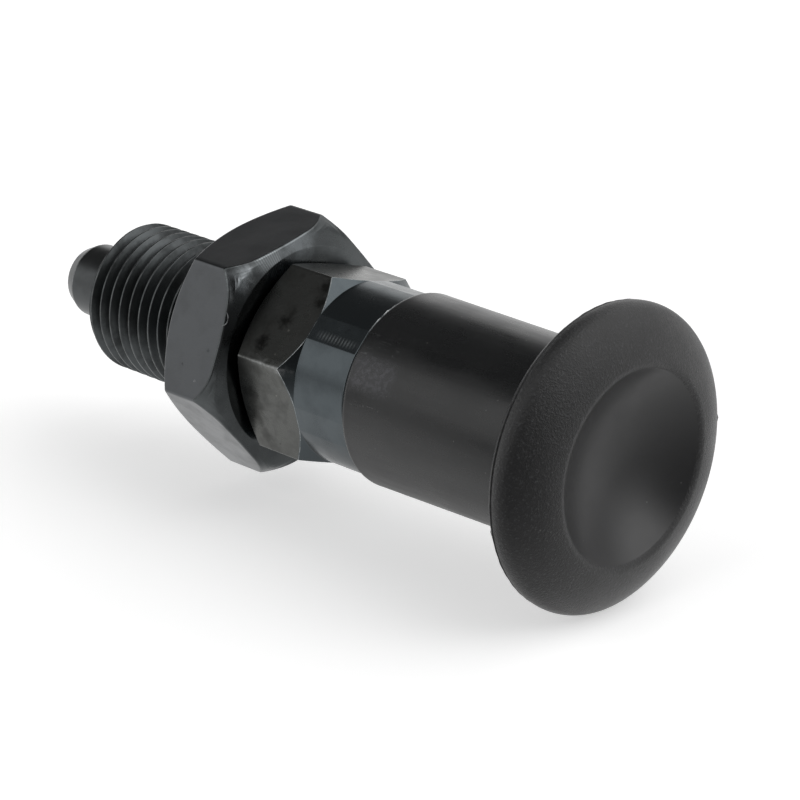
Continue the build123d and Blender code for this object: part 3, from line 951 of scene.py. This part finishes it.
table_top(cad_box[0][2] - TABLE_GAP, TABLE_HALF)
print("table", round(TABLE_GAP / MM, 2), "mm below the object")


# %% Studio
ROOM, DARKEST = 1.0, 0.04
PATCHES = [
    # direction, whole within and gone beyond so many degrees, and the change of brightness
    ((-0.65, 0.10, 0.72), 29, 41, -0.9),  # dark ceiling over the thread's end
    ((0.71, -0.68, -0.05), 38, 60, -0.93),  # dark room on the camera's side
    ((0.62, 0.33, 0.68), 20, 40, 0.5),  # soft box over the knob
    ((-0.668, -0.744, 0.02), 2, 9, -0.55),  # a narrow dark flag beside the thread
    ((0.49, -0.45, 0.75), 12, 30, -0.6),  # dark ceiling over the camera
    ((0.38, 0.92, 0.0), 14, 34, -0.5),  # dark room behind the knob
    ((0.76, 0.40, 0.51), 4, 20, 0.9),  # lamp low in the soft box
]


def studio_world(level, patches):
    """White to the camera. For everything else, level, plus each patch within its angles of its direction.

    A patch is (direction, full, none, change): change is added inside full degrees of the direction,
    nothing beyond none degrees, and a smooth step of the angle's cosine between.
    """
    world = bpy.data.worlds.new("studio")
    bpy.context.scene.world = world
    world.use_nodes = True
    tree = world.node_tree
    tree.nodes.clear()
    ray = add(tree, "VectorMath NORMALIZE", add(tree, "TexCoord", out="Generated"))
    around = level
    for direction, full, none, change in patches:
        cosine = add(tree, "VectorMath DOT_PRODUCT", ray, Vector(direction).normalized(), out="Value")
        low, high = np.cos(np.radians(none)), np.cos(np.radians(full))
        here = add(tree, "MapRange", cosine, low, high, 0.0, change, interpolation_type="SMOOTHSTEP")
        around = add(tree, "Math ADD", around, here)
    to_camera = add(tree, "LightPath", out="Is Camera Ray")
    strength = add(tree, "Mix", to_camera, None, add(tree, "Math MAXIMUM", around, DARKEST), 1.0)
    add(tree, "OutputWorld", add(tree, "Background", (1, 1, 1, 1), strength))


studio_world(ROOM, PATCHES)
print("studio with", len(PATCHES), "patches")


# %% Camera
CAMERA_AT = (0.228738, -0.220906, 0.119778)
FORWARD, RIGHT, UP = (-0.64961, 0.66640, -0.36596), (0.71607, 0.69803, 0.0), (-0.25545, 0.26205, 0.93063)
LENS, SENSOR = 148.5, 36.0  # mm


def camera(place, forward, right, up, lens):
    """A camera with the given axes, which are written as the columns of its rotation."""
    data = bpy.data.cameras.new("camera")
    data.lens, data.sensor_width, data.clip_start, data.clip_end = lens, SENSOR, 0.01, 20.0
    made = bpy.data.objects.new("camera", data)
    turn = Matrix([right, up, [-v for v in forward]]).transposed().to_4x4()
    made.matrix_world = Matrix.Translation(place) @ turn
    bpy.context.scene.collection.objects.link(made)
    bpy.context.scene.camera = made


camera(CAMERA_AT, FORWARD, RIGHT, UP, LENS)
bpy.context.scene.view_settings.view_transform = "Standard"
print("camera", round(Vector(CAMERA_AT).length / MM), "mm from the origin")
